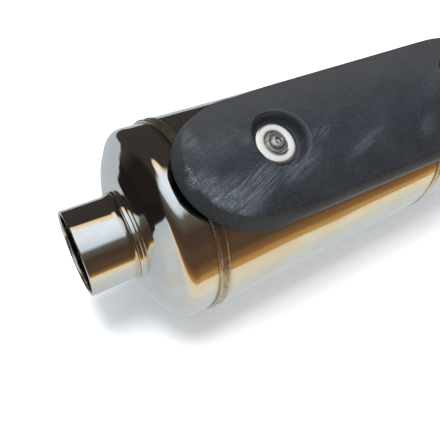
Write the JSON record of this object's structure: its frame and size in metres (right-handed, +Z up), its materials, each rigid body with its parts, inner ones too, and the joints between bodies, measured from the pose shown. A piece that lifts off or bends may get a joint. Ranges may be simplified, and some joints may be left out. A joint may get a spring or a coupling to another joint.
{
  "type": "exhaust muffler",
  "caption": "Round polished stainless scooter exhaust muffler with a coaxial tail pipe, a black plastic heat shield screwed on its outer side and a mounting bracket behind.",
  "frame": {"origin": "centre of the inlet mouth, on the can's axis", "axes": "+X along the can's axis, forward out of the inlet; +Z up; -Y to the outer side, away from the vehicle, so the heat shield faces up and out"},
  "size_m": [0.4036, 0.1686, 0.1444],
  "materials": {
    "polished_steel": "mirror polished stainless",
    "weld_steel": "ground weld with heat tint",
    "plain_steel": "satin stainless",
    "fastener_steel": "machined stainless",
    "washer_steel": "polished stainless",
    "black_plastic": "fine-textured moulded, scuffed",
    "rubber": "moulded",
    "glass_wool": "packed fibre",
    "graphite": "pressed graphite and fibre",
    "catalyst_foil": "coated foil"
  },
  "bodies": {
    "muffler": {"body_shell": "polished_steel", "rear_cap": "polished_steel", "front_cap": "polished_steel", "rear_seam": "weld_steel", "front_seam": "weld_steel", "tail_pipe": "polished_steel", "tail_weld": "weld_steel", "outlet_core": "plain_steel", "lining_skin": "plain_steel", "wool_packing": "glass_wool", "rear_baffle": "plain_steel", "front_baffle": "plain_steel", "transfer_tubes": "plain_steel", "catalyst_can": "plain_steel", "catalyst_mat": "glass_wool", "catalyst_core": "catalyst_foil", "inlet_pipe": "plain_steel", "inlet_weld": "weld_steel", "inlet_gasket": "graphite", "shield_bosses": "plain_steel", "shield_isolators": "graphite", "bracket_plate": "plain_steel", "rear_bracket_rib": "plain_steel", "front_bracket_rib": "plain_steel", "mount_grommets": "rubber", "mount_sleeves": "fastener_steel"},
    "shield": {"heat_shield": "black_plastic", "shield_collars": "fastener_steel"},
    "rear_washer": {"rear_shield_washer": "washer_steel"},
    "rear_screw": {"rear_shield_screw": "fastener_steel"},
    "front_washer": {"front_shield_washer": "washer_steel"},
    "front_screw": {"front_shield_screw": "fastener_steel"},
    "clamp": {"clamp_band": "plain_steel", "clamp_bolt": "fastener_steel"},
    "nut_washer": {"clamp_washer": "fastener_steel"},
    "nut": {"clamp_nut": "fastener_steel"}
  },
  "joints": [
    {"name": "shield_lift", "type": "slide", "parent": "muffler", "child": "shield", "axis": [0, -0.5678, 0.8231], "range_m": [0, 0.04]},
    {"name": "rear_screw_travel", "type": "slide", "parent": "shield", "child": "rear_washer", "axis": [0, -0.5678, 0.8231], "range_m": [0, 0.004]},
    {"name": "rear_screw_turn", "type": "hinge", "parent": "rear_washer", "child": "rear_screw", "pos_m": [-0.2887, -0.04259, 0.06174], "axis": [0, -0.5678, 0.8231], "range_deg": [0, 1440]},
    {"name": "front_screw_travel", "type": "slide", "parent": "shield", "child": "front_washer", "axis": [0, -0.5678, 0.8231], "range_m": [0, 0.004]},
    {"name": "front_screw_turn", "type": "hinge", "parent": "front_washer", "child": "front_screw", "pos_m": [-0.127, -0.04259, 0.06174], "axis": [0, -0.5678, 0.8231], "range_deg": [0, 1440]},
    {"name": "clamp_turn", "type": "hinge", "parent": "muffler", "child": "clamp", "pos_m": [-0.016, 0, 0], "axis": [1, 0, 0], "continuous": true},
    {"name": "clamp_nut_travel", "type": "slide", "parent": "clamp", "child": "nut_washer", "axis": [0, 1, 0], "range_m": [0, 0.012]},
    {"name": "clamp_nut_turn", "type": "hinge", "parent": "nut_washer", "child": "nut", "pos_m": [-0.016, 0.01, 0.0365], "axis": [0, 1, 0], "range_deg": [0, 4320]}
  ],
  "couplings": [
    {"joint": "rear_screw_turn", "follows": "rear_screw_travel", "rad_per_m": 6283},
    {"joint": "front_screw_turn", "follows": "front_screw_travel", "rad_per_m": 6283},
    {"joint": "clamp_nut_turn", "follows": "clamp_nut_travel", "rad_per_m": 6283}
  ]
}
